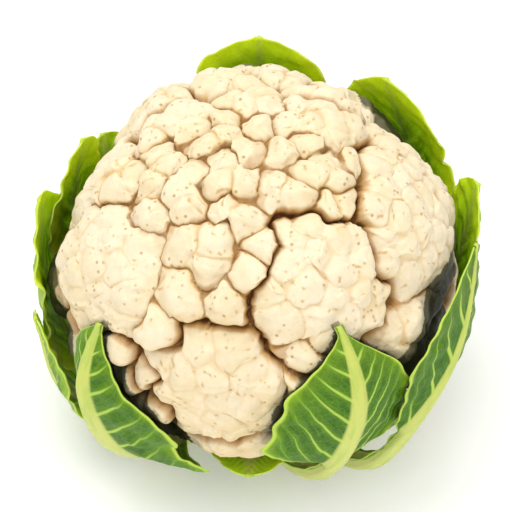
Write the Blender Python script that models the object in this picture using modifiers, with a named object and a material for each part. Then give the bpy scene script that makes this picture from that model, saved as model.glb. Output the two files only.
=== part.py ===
# A cauliflower as cut for sale: the white curd, its cut stem and the wrapper leaves that cup it.
# Metres, +Z up. The origin is the centre of the stem's flat cut face, on which it stands.
# The florets that face -Y are placed by hand, and those behind follow rings round the head.

import math

import bmesh
import bpy
import numpy as np

MM = 0.001

# The head, whose centre is the middle of the curd
HEAD_CENTRE_HEIGHT = 80 * MM
CURD_RADIUS = 87 * MM
CURD_TOP_RADIUS = 76 * MM
CURD_UNDER_RADIUS = 46 * MM
UNDERSIDE_STARTS = 20.0  # degrees below the middle
UNDERSIDE_ENDS = 72.0
FRONT_SAG = 12.0  # the front florets hang this many degrees lower
# Where the head is hollow, or bulges where the depth is negative: azimuth, elevation, reach in
# degrees, depth in mm
HOLLOWS = [(26, 29, 30, 9), (62, 45, 26, 2), (160, 24, 36, 12), (195, 6, 30, -1.5), (352, 3, 28, -2.5)]

# The cut stem
STEM_RADIUS = 23 * MM
STEM_FOOT_RADIUS = 21.5 * MM
STEM_TOP = 35.7 * MM
STEM_SIDES = 24
JOIN_GAP = 0.3 * MM

# The relief of the curd. Florets are rounded down to the creases between them, less within a group
# than between groups, which deep crevices part. The creases between a floret's knobs are shallow.
KNOB_PITCH = 12.6 * MM
UNDERSIDE_PITCH = 21 * MM
FLORET_CREASE_SHARE = 0.34  # of the smaller floret's radius
FLORET_CREASE_LIMIT = 7.0 * MM
FLORET_ROUNDING = 0.62
WITHIN_GROUP = 0.42  # of both, between florets of one group
CREVICE_DEPTH = 5.0 * MM
CREVICE_WIDTH = 3.2 * MM
KNOB_CREASE_DEPTH = 1.6 * MM
KNOB_CREASE_WIDTH = 5.0 * MM
FLORET_DOME = 4.0 * MM
KNOB_DOME = 0.9 * MM
KNOB_LIFT = 0.5 * MM
SHOULDER = 0.58  # how far out from a knob's top its shoulder points lie
CLOSEST_POINTS = 1.3 * MM
GOLDEN_ANGLE = math.pi * (3 - math.sqrt(5))
SEED = 7

# Florets that face -Y: azimuth and elevation in degrees from the head's centre, radius in mm, group
FRONT_FLORETS = [
    (258, -4, 27, "low"), (262, -25, 15, "bottom"), (281, 4, 9, "low"), (236, -7, 8, "low"),
    (294, 30, 28, "right"), (286, 11, 8, "right"), (300, -13, 15, "right low"),
    (337, 33, 30, "far right"), (317, 4, 13, "far right"),
    (102, 81, 14, "crown"), (6, 69, 19, "crown"), (331, 68, 8, "crown"), (333, 59, 9, "crown"),
    (173, 63, 18, "crown"), (190, 79, 8, "crown"),
    (282, 85, 8, "crown"), (300, 72, 9, "crown"), (229, 74, 12, "crown"), (206, 55, 12, "crown"),
    (314, 58, 11, "crown"), (306, 50, 10, "crown"), (254, 63, 11, "crown"), (288, 58, 10, "crown"),
    (230, 54, 12, "crown"), (221, 45, 8, "crown"), (259, 51, 10, "crown"), (290, 46, 8, "crown"),
    (276, 42, 9, "crown"), (249, 41, 12, "crown"), (196, 42, 14, "crown"),
    (271, 35, 9, "crown"), (260, 27, 8, "crown"), (247, 26, 9, "crown"), (240, 14, 9, "crown"),
    (214, 20, 27, "crown"), (229, 3, 8, "left low"),
]
# Rings of florets round the back, each a group: first azimuth, step, count, elevation, radius in mm
BACK_RINGS = [
    (11, 39, 5, 25, 26),
    (38, 38, 4, 57, 17),
    (325, 31, 5, -15, 15),
    (120, 31, 5, -14, 15),
]

# The leaves. Whorl 0 springs lowest on the stem and lies outermost, whorl 2 highest and innermost.
# base and tip are azimuths, and rise is the tip's elevation from the head's centre, in degrees.
# The rest is in mm: belly and reach are how far the blade stands off the curd at its middle and
# its tip, half is half its width, keel how far its middle is folded out, ruffle how far its edges
# wave. point is 1 for a leaf that runs straight to its tip and less for a rounded one, and ahead is
# the same for its anticlockwise half, which skew widens at the cost of the other. The blade leaves
# the stalk at the share of the leaf's length that start gives, and the midrib bows sideways by bow
# degrees between base and tip.
LEAF_FIELDS = ("whorl", "base", "tip", "rise", "belly", "reach",
               "half", "keel", "ruffle", "point", "ahead", "skew", "start", "bow")
LEAVES = {
    "leaf_front_left": (0, 236, 226, 12, 5, 4, 21.5, 5.5, 1.0, 1.0, 1.3, 0.95, 0.22, -8),
    "leaf_front_right": (0, 276, 292, 20, 4.5, 4, 30, 2.5, 2.5, 1.5, 1.6, -0.15, 0.45, 9.5),
    "leaf_front_low": (1, 266, 268, -34, 1, 7, 15, 0, 1.0, 0.6, 0.6, 0, 0.2, 0),
    "leaf_right_low": (1, 320, 320, -16, 2, 2, 18, 0, 1.0, 0.6, 0.6, 0, 0.2, 0),
    "leaf_right": (0, 314, 345, 16, 8, 9, 25, 3, 2.5, 0.5, 0.8, -0.3, 0.55, -20),
    "leaf_right_back": (2, 10, 8, 17, 2.5, 11, 24, 0, 1.5, 0.6, 0.6, 0, 0.2, 0),
    "leaf_back_right": (1, 42, 45, 33.5, 7.5, 7, 30, 0, 2.0, 0.5, 0.65, 0.05, 0.2, 0),
    "leaf_back": (2, 86, 89, 39.5, 3.8, 8.5, 31, 0, 2.0, 0.6, 0.6, 0, 0.2, 0),
    "leaf_back_outer_right": (0, 62, 78, 6, 13.5, 11, 20, 1, 3.0, 0.6, 0.6, 0, 0.2, 0),
    "leaf_back_outer_left": (0, 104, 106, 8, 11.5, 11, 20, 1, 3.0, 0.6, 0.6, 0, 0.2, 0),
    "leaf_back_left": (1, 136, 135, 8, 7.5, 10, 26, 0, 1.5, 0.6, 0.6, 0, 0.2, 0),
    "leaf_left_back": (2, 152, 153, 22, 2.0, 2, 22, 0, 1.5, 0.6, 0.6, 0.25, 0.2, 0),
    "leaf_left": (1, 182, 174, 14.5, 5, 7, 29, 0, 2.0, 0.6, 0.6, 0, 0.2, 0),
    "leaf_left_low": (0, 196, 199, -4, 10, 9.5, 20, 1, 2.5, 0.6, 0.6, 0, 0.2, 0),
}
WHORL_HEIGHTS = [10 * MM, 19.5 * MM, 29.5 * MM]
WHORL_UNDER = [(52 * MM, 15 * MM), (50 * MM, 23.5 * MM), (46 * MM, 31 * MM)]
WHORL_SHOULDER = [(-32.0, 2 * MM), (-30.0, 1.5 * MM), (-26.0, 1 * MM)]
LEAF_BED_RADIUS = 86 * MM
LEAF_START = STEM_RADIUS + 1.2 * MM
PETIOLE_HALF = 8.0 * MM
PETIOLE_TAPER = 1.4
BLADE_THICK = 1.1 * MM
RIB_THICK_BASE = 7.6 * MM
RIB_THICK_TIP = 0.8 * MM
RIB_THICK_TAPER = 2.4
RIB_HALF_BASE = 7.6 * MM
RIB_HALF_TIP = 0.9 * MM
RIB_HALF_TAPER = 0.85
RIB_FLAT = 0.45  # of the midrib's width, along its back
NARROWEST = 2 * MM  # half the blade at its tip
RUFFLES_WIDEN = 20 * MM  # the blade's half width, over the petiole's, at which it waves in full
FOLD_RISE = (0.12, 0.30)  # where along the leaf its middle begins to fold out, and over how much
FOLD_FALL = (1.02, 0.35)
LEAF_STATIONS = 12
TIP_CROWDING = 1.5  # stations lie closer towards the tip
BLADE_COLUMNS = 3
WAVES = 3.0
SCALLOP = 0.07

COLOURS = {
    "curd": ((0.90, 0.80, 0.60), 0.62),
    "stem": ((0.70, 0.74, 0.42), 0.55),
    "leaf": ((0.13, 0.30, 0.05), 0.45),
}


def clear_scene():
    for obj in list(bpy.data.objects):
        bpy.data.objects.remove(obj, do_unlink=True)


def material(name):
    """A plain finish in the part's colour and roughness."""
    colour, roughness = COLOURS[name]
    made = bpy.data.materials.new(name)
    made.use_nodes = True
    shader = made.node_tree.nodes["Principled BSDF"]
    shader.inputs["Base Color"].default_value = (*colour, 1.0)
    shader.inputs["Roughness"].default_value = roughness
    shader.inputs["Metallic"].default_value = 0.0
    return made


def add_object(name, mesh, collection, finish):
    obj = bpy.data.objects.new(name, mesh)
    obj.data.materials.append(finish)
    collection.objects.link(obj)
    return obj


def direction(azimuth, elevation):
    """Unit vectors for azimuths and elevations in degrees."""
    az, el = np.radians(azimuth), np.radians(elevation)
    return np.stack([np.cos(az) * np.cos(el), np.sin(az) * np.cos(el), np.sin(el)], axis=-1)


def floret_layout():
    """Each floret's unit direction, its radius and the number of its group."""
    rows = [row[:3] for row in FRONT_FLORETS]
    names = [row[3] for row in FRONT_FLORETS]
    for first, step, count, elevation, radius in BACK_RINGS:
        rows += [(first + step * i, elevation + 4 * (-1) ** i, radius) for i in range(count)]
        names += [(first, i) for i in range(count)]
    azimuth, elevation, radius = np.array(rows, float).T
    groups = np.array([names.index(name) for name in names])
    return direction(azimuth, elevation), radius * MM, groups


def spread(points, pitch, rounds=12):
    """Pushes points that crowd each other apart over the unit sphere."""
    for _ in range(rounds):
        gap = points[:, None] - points[None, :]
        distance = np.linalg.norm(gap, axis=2) + np.eye(len(points)) * 9
        push = np.clip(pitch / CURD_RADIUS - distance, 0, None) / distance
        points = points + 0.35 * (gap * push[:, :, None]).sum(axis=1)
        points /= np.linalg.norm(points, axis=1)[:, None]
    return points


def knob_layout():
    """Knob directions, the floret that each grows on (-1 for the underside) and its lift."""
    centres, radii, _ = floret_layout()
    rng = np.random.default_rng(SEED)
    points, owners = [], []
    for i, (centre, radius) in enumerate(zip(centres, radii)):
        side = np.cross(centre, (0.3, 0.2, 1.0))
        side /= np.linalg.norm(side)
        up = np.cross(centre, side)
        count = 1 if radius < 9.5 * MM else round(math.pi * radius**2 / (0.87 * KNOB_PITCH**2))
        turn = rng.uniform(0, 2 * math.pi)
        for k in range(count):
            reach = 0.93 * radius / CURD_RADIUS * math.sqrt((k + 0.5) / count) if count > 1 else 0.0
            angle = turn + k * GOLDEN_ANGLE
            points.append(centre + reach * (math.cos(angle) * side + math.sin(angle) * up))
            owners.append(i)
    points = np.array(points)
    points /= np.linalg.norm(points, axis=1)[:, None]
    owners = np.array(owners)
    # a knob that strays nearer to a neighbouring floret goes
    reach = np.linalg.norm(points[:, None] - centres[None], axis=2) ** 2 - (radii / CURD_RADIUS) ** 2
    keep = reach.argmin(axis=1) == owners
    points, owners = spread(points[keep], KNOB_PITCH), owners[keep]
    under = underside_points(points)
    lift = rng.uniform(-KNOB_LIFT, KNOB_LIFT, len(points))
    points = np.concatenate([points, under])
    owners = np.concatenate([owners, np.full(len(under), -1)])
    lift = np.concatenate([lift, np.zeros(len(under))])
    return points, owners, lift


def underside_points(taken):
    """Rings of plain points over the underside, clear of the knobs."""
    found = []
    for elevation in (-38, -52):
        radius = CURD_RADIUS * math.cos(math.radians(elevation))
        count = int(2 * math.pi * radius / UNDERSIDE_PITCH)
        azimuths = np.arange(count) * 360 / count + elevation
        found.append(direction(azimuths, np.full(count, float(elevation))))
    found = np.concatenate(found)
    nearest = np.linalg.norm(found[:, None] - taken[None], axis=2).min(axis=1)
    return found[nearest > 0.75 * UNDERSIDE_PITCH / CURD_RADIUS]


def smooth(x):
    x = np.clip(x, 0, 1)
    return x * x * (3 - 2 * x)


def crease(distance, width):
    """1 at the bottom of a crease, 0 past its rounded shoulder."""
    x = 1 - np.clip(distance / width, 0, 1)
    return 1 - np.sqrt(np.clip(1 - x * x, 0, 1))


def hollow_depth(unit):
    """How far the head is sunk along each unit vector."""
    depth = np.zeros(len(unit))
    for azimuth, elevation, reach, deepest in HOLLOWS:
        centre = direction(azimuth, elevation)
        apart = np.degrees(np.arccos(np.clip(unit @ centre, -1, 1)))
        depth += deepest * MM * smooth(1 - apart / reach)
    return depth


def curd_radius(unit, knobs, owners, lift, florets, floret_radii, groups):
    """How far the curd's surface lies from the head's centre along each unit vector."""
    elevation = np.degrees(np.arcsin(np.clip(unit[:, 2], -1, 1)))
    level = np.sqrt(np.clip(1 - unit[:, 2] ** 2, 0, 1))
    upper = 1 / np.sqrt((level / CURD_RADIUS) ** 2 + (unit[:, 2] / CURD_TOP_RADIUS) ** 2)
    starts = UNDERSIDE_STARTS + FRONT_SAG * np.clip(-unit[:, 1], 0, 1)
    under = smooth((-elevation - starts) / (UNDERSIDE_ENDS - starts))
    base = np.where(elevation > 0, upper, CURD_RADIUS + (CURD_UNDER_RADIUS - CURD_RADIUS) * under)
    # the distance from each point to the borders of its knob, of its floret and of its group
    squared = ((unit[:, None] - knobs[None]) ** 2).sum(axis=2)
    own = squared.argmin(axis=1)
    apart = np.linalg.norm(knobs[own][:, None] - knobs[None], axis=2)
    border = (squared - squared[np.arange(len(unit)), own][:, None]) / (2 * apart + 1e-9) * CURD_RADIUS
    border[np.arange(len(unit)), own] = 1.0
    knob_edge = border.min(axis=1)
    grows = owners[own]
    across = np.where(owners[None] == grows[:, None], 1.0, border)
    floret_edge = across.min(axis=1)
    knob_groups = np.where(owners < 0, -1, groups[owners])
    group_edge = np.where(knob_groups[None] == knob_groups[own][:, None], 1.0, border).min(axis=1)
    beyond = owners[across.argmin(axis=1)]
    smaller = np.minimum(floret_radii[grows], floret_radii[beyond])
    smaller = smaller * np.where(groups[grows] == groups[beyond], WITHIN_GROUP, 1.0)
    depth = np.minimum(FLORET_CREASE_SHARE * smaller, FLORET_CREASE_LIMIT)
    raised = -KNOB_CREASE_DEPTH * crease(knob_edge, KNOB_CREASE_WIDTH)
    raised -= depth * crease(floret_edge, FLORET_ROUNDING * smaller)
    raised -= CREVICE_DEPTH * crease(group_edge, CREVICE_WIDTH)
    # each floret and knob is a little dome
    size = np.sqrt(floret_radii[grows] / floret_radii.max())
    out = np.linalg.norm(unit - florets[grows], axis=1) * CURD_RADIUS / floret_radii[grows]
    dome = FLORET_DOME * size * np.clip(1 - out**2, -0.5, 1)
    raised += np.where(grows < 0, 0, dome - 0.5 * FLORET_DOME)
    knob_out = np.sqrt(squared[np.arange(len(unit)), own]) * CURD_RADIUS / (0.5 * KNOB_PITCH)
    raised += KNOB_DOME * np.clip(1 - knob_out**2, -1, 1) + lift[own]
    return base - hollow_depth(unit) + (1 - under) * raised


def corners_of(centres):
    """Where the cells round the centres meet, with the cells that meet there: their corners, and
    the middles of the borders between two cells, both from the centres' convex hull."""
    hull = bmesh.new()
    for centre in centres:
        hull.verts.new(centre)
    hull.verts.index_update()
    bmesh.ops.convex_hull(hull, input=hull.verts)
    bmesh.ops.triangulate(hull, faces=hull.faces)
    corners, creases = [], []
    for face in hull.faces:
        face.normal_update()
        corner = np.array(face.normal)
        corner = corner if corner @ np.array(face.verts[0].co) > 0 else -corner
        corners.append((corner, [vert.index for vert in face.verts]))
    hull.faces.index_update()
    for edge in hull.edges:
        middle = sum(corners[face.index][0] for face in edge.link_faces)
        creases.append((middle / np.linalg.norm(middle), [vert.index for vert in edge.verts]))
    hull.free()
    return corners, creases


def make_curd(collection, finish):
    """Points stand where the relief turns: on knob tops, shoulders and creases. Their convex hull
    on the unit sphere joins them up, and the relief's formula then raises them."""
    knobs, owners, lift = knob_layout()
    corners, creases = corners_of(knobs)
    borders = [place for place, cells in corners + creases]
    shoulders = []
    for place, cells in corners + creases:
        shoulders += [knobs[cell] * (1 - SHOULDER) + place * SHOULDER for cell in cells]
    flat_height = STEM_TOP + JOIN_GAP - HEAD_CENTRE_HEIGHT
    rim_angle = np.degrees(math.atan2(flat_height, STEM_RADIUS))
    rim = direction(np.arange(STEM_SIDES) * 360 / STEM_SIDES, np.full(STEM_SIDES, rim_angle))
    points = np.concatenate([knobs, borders, shoulders])
    points /= np.linalg.norm(points, axis=1)[:, None]
    points = points[points[:, 2] > math.sin(math.radians(rim_angle + 4))]
    points = np.concatenate([rim, points, [(0, 0, -1)]])
    shell = bmesh.new()
    for point in points:
        shell.verts.new(point)
    bmesh.ops.remove_doubles(shell, verts=shell.verts, dist=CLOSEST_POINTS / CURD_RADIUS)
    bmesh.ops.convex_hull(shell, input=shell.verts)
    bmesh.ops.triangulate(shell, faces=shell.faces)
    loose = [vert for vert in shell.verts if not vert.link_faces]
    bmesh.ops.delete(shell, geom=loose, context="VERTS")
    unit = np.array([vert.co for vert in shell.verts])
    unit /= np.linalg.norm(unit, axis=1)[:, None]
    radius = curd_radius(unit, knobs, owners, lift, *floret_layout())
    flat = np.where(unit[:, 2] < 0, flat_height / np.minimum(unit[:, 2], -1e-6), 1.0)
    radius = np.where(unit[:, 2] < math.sin(math.radians(rim_angle + 1)), flat, np.minimum(radius, flat))
    for vert, place in zip(shell.verts, unit * radius[:, None]):
        vert.co = place
    bmesh.ops.recalc_face_normals(shell, faces=shell.faces)
    for face in shell.faces:
        face.smooth = True
    mesh = bpy.data.meshes.new("curd")
    shell.to_mesh(mesh)
    shell.free()
    curd = add_object("curd", mesh, collection, finish)
    curd.location = (0, 0, HEAD_CENTRE_HEIGHT)
    return curd


def make_stem(collection, finish):
    """The cut stem, turned from a profile that swells towards the leaf bases."""
    profile = [(0, STEM_TOP), (STEM_RADIUS - 2.5 * MM, STEM_TOP), (STEM_RADIUS - 1 * MM, STEM_TOP - 3 * MM)]
    profile += [(STEM_RADIUS, 18 * MM), (STEM_RADIUS, 8 * MM), (STEM_FOOT_RADIUS, 1 * MM)]
    profile += [(STEM_FOOT_RADIUS - 1 * MM, 0), (0, 0)]
    shape = bmesh.new()
    verts = [shape.verts.new((radius, 0, height)) for radius, height in profile]
    for a, b in zip(verts, verts[1:]):
        shape.edges.new((a, b))
    mesh = bpy.data.meshes.new("stem")
    shape.to_mesh(mesh)
    shape.free()
    stem = add_object("stem", mesh, collection, finish)
    screw = stem.modifiers.new("Turn", "SCREW")
    screw.axis = "Z"
    screw.steps = screw.render_steps = STEM_SIDES
    screw.use_merge_vertices = True
    screw.merge_threshold = 0.0001
    return stem


def midrib_points(leaf):
    """Where a leaf's midrib runs, as (distance from the axis, height): off the stem, out under the
    head, up round its side and on to the tip."""
    whorl = leaf["whorl"]
    shoulder, out = WHORL_SHOULDER[whorl]
    stops = [(leaf["rise"], leaf["reach"] * MM)]
    if leaf["rise"] > shoulder + 5:
        stops.insert(0, (shoulder, leaf["belly"] * MM + out))
    if leaf["rise"] > shoulder + 40:
        stops.insert(1, ((shoulder + leaf["rise"]) / 2, leaf["belly"] * MM))
    points = [(LEAF_START, WHORL_HEIGHTS[whorl]), WHORL_UNDER[whorl]]
    for angle, off in stops:
        reach = LEAF_BED_RADIUS + off
        height = HEAD_CENTRE_HEIGHT + reach * math.sin(math.radians(angle))
        points.append((reach * math.cos(math.radians(angle)), height))
    return np.array(points)


def spline(points, share):
    """A smooth curve through the points, at shares of its length from 0 to 1."""
    ends = np.concatenate([[2 * points[0] - points[1]], points, [2 * points[-1] - points[-2]]])
    fine = []
    for i in range(len(points) - 1):
        a, b, c, d = ends[i : i + 4]
        for t in np.linspace(0, 1, 16, endpoint=False):
            square, cube = 2 * a - 5 * b + 4 * c - d, 3 * b - a - 3 * c + d
            fine.append(0.5 * (2 * b + (c - a) * t + square * t**2 + cube * t**3))
    fine = np.array(fine + [points[-1]])
    length = np.concatenate([[0], np.cumsum(np.linalg.norm(np.diff(fine, axis=0), axis=1))])
    at = np.asarray(share) * length[-1]
    return np.stack([np.interp(at, length, fine[:, 0]), np.interp(at, length, fine[:, 1])], axis=-1)


def blade_half_width(leaf, s, t):
    """A petiole that widens into a broad blade and then tapers to the tip, at each side of t."""
    u = np.clip((s - leaf["start"]) / (1 - leaf["start"]), 0, 1)
    point = np.where(t > 0, leaf["ahead"], leaf["point"])
    widest = 1 / (1 + point)
    blade = u * (1 - u) ** point / (widest * (1 - widest) ** point)
    scallop = 1 + SCALLOP * np.sin(2 * math.pi * (WAVES + 1) * s + leaf["base"])
    petiole = PETIOLE_HALF * (1 - s) ** PETIOLE_TAPER
    return np.maximum(leaf["half"] * MM * blade * scallop + petiole, NARROWEST)


def leaf_point(leaf, s, t):
    """The inner face of a leaf at s along the midrib, 0 to 1, and t across it, -1 to 1."""
    step = 1e-3
    path = midrib_points(leaf)
    here, ahead = spline(path, s), spline(path, np.minimum(s + step, 1))
    behind = spline(path, np.maximum(s - step, 0))
    along = ahead - behind
    along /= np.linalg.norm(along, axis=-1)[..., None]
    outward = np.stack([along[..., 1], -along[..., 0]], axis=-1)
    half = blade_half_width(leaf, s, t)
    wide = np.clip((half - PETIOLE_HALF) / RUFFLES_WIDEN, 0, 1)
    rise = smooth((s - FOLD_RISE[0]) / FOLD_RISE[1])
    fall = smooth((FOLD_FALL[0] - s) / FOLD_FALL[1])
    folded = np.clip(1 - np.abs(t), 0, 1) ** 1.5 * rise * fall
    lifted = leaf["keel"] * MM * folded
    wave = 0.5 + 0.5 * np.sin(2 * math.pi * WAVES * s + 1.7 * leaf["base"] + 1.3 * np.sign(t))
    lifted += leaf["ruffle"] * MM * np.abs(t) ** 2 * wave * wide
    place = here + outward * lifted[..., None]
    across = t * half * (1 + leaf["skew"] * np.sign(t) * wide) / here[..., 0]
    middle = leaf["base"] + (leaf["tip"] - leaf["base"]) * smooth(s) + leaf["bow"] * np.sin(math.pi * s)
    azimuth = np.radians(middle) + across
    level, height = place[..., 0], place[..., 1]
    return np.stack([level * np.cos(azimuth), level * np.sin(azimuth), height], axis=-1)


def leaf_columns(leaf, s):
    """Places across the leaf: the flat back of the midrib, its two flanks and the blade."""
    columns = []
    for side in (-1, 1):
        half = float(blade_half_width(leaf, s, side))
        rib = (RIB_HALF_TIP + (RIB_HALF_BASE - RIB_HALF_TIP) * (1 - s) ** RIB_HALF_TAPER) / half
        rib = min(rib, 0.7)
        blade = [rib + (1 - rib) * (k + 1) / BLADE_COLUMNS for k in range(BLADE_COLUMNS)]
        columns += [side * t for t in [RIB_FLAT * rib, rib] + blade]
    return sorted(columns)


def make_leaf(name, leaf, collection, finish):
    """A blade over its midrib: a waved sheet of triangles, thickened outwards, most at the rib."""
    sheet = bmesh.new()
    rib_share, rows = {}, []
    for i in range(LEAF_STATIONS + 1):
        s = 1 - (1 - i / LEAF_STATIONS) ** TIP_CROWDING
        columns = leaf_columns(leaf, s)
        places = leaf_point(leaf, np.full(len(columns), s), np.array(columns))
        row = [sheet.verts.new(place) for place in places]
        thick = BLADE_THICK + RIB_THICK_TIP + (RIB_THICK_BASE - RIB_THICK_TIP) * (1 - s) ** RIB_THICK_TAPER
        middle = len(columns) // 2
        for j, vert in enumerate(row):
            on_rib = j in (middle - 1, middle)
            rib_share[vert] = (thick if on_rib else BLADE_THICK) / (BLADE_THICK + RIB_THICK_BASE)
        rows.append(row)
    for i, (low, high) in enumerate(zip(rows, rows[1:])):
        for j in range(len(low) - 1):
            a, b, c, d = low[j], low[j + 1], high[j + 1], high[j]
            if (i + j) % 2:
                sheet.faces.new((a, b, c))
                sheet.faces.new((a, c, d))
            else:
                sheet.faces.new((a, b, d))
                sheet.faces.new((b, c, d))
    sheet.verts.index_update()
    shares = [rib_share[vert] for vert in sheet.verts]
    mesh = bpy.data.meshes.new(name)
    sheet.to_mesh(mesh)
    sheet.free()
    obj = add_object(name, mesh, collection, finish)
    group = obj.vertex_groups.new(name="thickness")
    for index, share in enumerate(shares):
        group.add([index], share, "REPLACE")
    solidify = obj.modifiers.new("Thickness", "SOLIDIFY")
    solidify.thickness = BLADE_THICK + RIB_THICK_BASE
    solidify.offset = 1.0
    solidify.vertex_group = group.name
    return obj


def main():
    clear_scene()
    head = bpy.data.collections.new("cauliflower")
    bpy.context.scene.collection.children.link(head)
    leaf_finish = material("leaf")
    make_curd(head, material("curd"))
    make_stem(head, material("stem"))
    for name, row in LEAVES.items():
        make_leaf(name, dict(zip(LEAF_FIELDS, row)), head, leaf_finish)


main()
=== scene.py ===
import math

import bmesh
import bpy
import numpy as np
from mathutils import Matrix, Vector
from mathutils.bvhtree import BVHTree
from mathutils.kdtree import KDTree


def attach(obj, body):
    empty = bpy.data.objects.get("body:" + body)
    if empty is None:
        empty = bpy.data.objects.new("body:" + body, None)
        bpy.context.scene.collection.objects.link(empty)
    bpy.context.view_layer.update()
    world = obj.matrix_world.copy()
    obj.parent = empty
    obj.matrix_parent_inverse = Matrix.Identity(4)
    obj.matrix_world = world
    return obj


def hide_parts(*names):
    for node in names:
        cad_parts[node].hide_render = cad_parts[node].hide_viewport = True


mm = 0.001

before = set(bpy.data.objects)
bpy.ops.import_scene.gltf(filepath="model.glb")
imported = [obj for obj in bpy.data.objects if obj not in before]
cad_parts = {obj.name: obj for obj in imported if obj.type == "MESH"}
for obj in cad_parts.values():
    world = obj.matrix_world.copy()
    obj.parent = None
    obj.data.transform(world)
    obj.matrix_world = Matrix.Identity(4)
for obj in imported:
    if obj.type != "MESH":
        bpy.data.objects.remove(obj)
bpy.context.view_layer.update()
print("frame loaded:", len(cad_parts), "nodes")


# Small helpers
def directionOf(azimuth, elevation):
    az, el = np.radians(azimuth), np.radians(elevation)
    return np.stack([np.cos(az) * np.cos(el), np.sin(az) * np.cos(el), np.sin(el)], axis=-1)


def eased(x):
    x = np.clip(x, 0, 1)
    return x * x * (3 - 2 * x)


def unitOf(v):
    return v / np.maximum(np.linalg.norm(v, axis=-1), 1e-12)[..., None]


def wander(points, wavelength, seed, count=14):
    # a smooth field of crossing waves, about -1 to 1, at any point
    rng = np.random.default_rng(seed)
    total = np.zeros(len(points))
    for _ in range(count):
        way = unitOf(rng.normal(size=3))
        length = wavelength * rng.uniform(0.75, 1.35)
        total += np.sin(2 * math.pi * (points @ way) / length + rng.uniform(0, 6.28))
    return total / math.sqrt(count / 2)


def smoothAll(mesh):
    mesh.polygons.foreach_set("use_smooth", np.full(len(mesh.polygons), True))


def meshFrom(name, points, faces):
    mesh = bpy.data.meshes.new(name)
    mesh.from_pydata(np.asarray(points).tolist(), [], [tuple(f) for f in faces])
    smoothAll(mesh)
    mesh.update()
    return mesh


def meshOf(name, bm):
    mesh = bpy.data.meshes.new(name)
    bm.to_mesh(mesh)
    bm.free()
    return mesh


def addObject(name, data):
    made = bpy.data.objects.new(name, data)
    bpy.context.scene.collection.objects.link(made)
    return made


def addPiece(name, mesh, node, finish):
    piece = addObject(name, mesh)
    mesh.materials.append(finish)
    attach(piece, "root")
    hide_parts(node)
    return piece


def pointValues(mesh, name, values):
    layer = mesh.attributes.new(name, "FLOAT", "POINT")
    layer.data.foreach_set("value", np.asarray(values, np.float32))


# Material helpers
def newFinish(name, roughness, **sockets):
    finish = bpy.data.materials.new(name)
    finish.use_nodes = True
    tree = finish.node_tree
    shader = tree.nodes["Principled BSDF"]
    shader.inputs["Roughness"].default_value = roughness
    for socket, value in sockets.items():
        shader.inputs[socket.replace("_", " ")].default_value = value
    return finish, tree, shader


def readValue(tree, name):
    node = tree.nodes.new("ShaderNodeAttribute")
    node.attribute_name = name
    return node.outputs["Fac"]


def readPlace(tree, name):
    node = tree.nodes.new("ShaderNodeAttribute")
    node.attribute_name = name
    return node.outputs["Vector"]


def mathStep(tree, kind, a, b=None, clamp=False):
    node = tree.nodes.new("ShaderNodeMath")
    node.operation = kind
    node.use_clamp = clamp
    for i, value in enumerate((a, b)):
        if value is None:
            continue
        if isinstance(value, (int, float)):
            node.inputs[i].default_value = value
        else:
            tree.links.new(value, node.inputs[i])
    return node.outputs[0]


def times(tree, a, b):
    return mathStep(tree, "MULTIPLY", a, b)


def plus(tree, a, b, clamp=False):
    return mathStep(tree, "ADD", a, b, clamp)


def remap(tree, value, low, high, toLow=0.0, toHigh=1.0):
    # eases a value from one range into another
    node = tree.nodes.new("ShaderNodeMapRange")
    node.interpolation_type = "SMOOTHSTEP"
    node.inputs["From Min"].default_value = low
    node.inputs["From Max"].default_value = high
    node.inputs["To Min"].default_value = toLow
    node.inputs["To Max"].default_value = toHigh
    tree.links.new(value, node.inputs["Value"])
    return node.outputs["Result"]


def blendColour(tree, amount, first, second):
    # either colour, and the amount, may be a plain value or come from another node
    node = tree.nodes.new("ShaderNodeMix")
    node.data_type = "RGBA"
    sockets = {s.identifier: s for s in node.inputs}
    for key, value in (("A_Color", first), ("B_Color", second)):
        if isinstance(value, tuple):
            sockets[key].default_value = (*value, 1.0)
        else:
            tree.links.new(value, sockets[key])
    if isinstance(amount, (int, float)):
        sockets["Factor_Float"].default_value = amount
    else:
        tree.links.new(amount, sockets["Factor_Float"])
    return {s.identifier: s for s in node.outputs}["Result_Color"]


def noiseAt(tree, scale, detail, where):
    node = tree.nodes.new("ShaderNodeTexNoise")
    node.inputs["Scale"].default_value = scale
    node.inputs["Detail"].default_value = detail
    node.inputs["Roughness"].default_value = 0.55
    tree.links.new(where, node.inputs["Vector"])
    return node.outputs["Fac"]


def cellsAt(tree, scale, feature, where):
    node = tree.nodes.new("ShaderNodeTexVoronoi")
    node.feature = feature
    node.inputs["Scale"].default_value = scale
    tree.links.new(where, node.inputs["Vector"])
    return node.outputs["Distance"]


def bumpOn(tree, shader, height, strength, distance):
    node = tree.nodes.new("ShaderNodeBump")
    node.inputs["Strength"].default_value = strength
    node.inputs["Distance"].default_value = distance
    tree.links.new(height, node.inputs["Height"])
    tree.links.new(node.outputs["Normal"], shader.inputs["Normal"])


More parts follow.
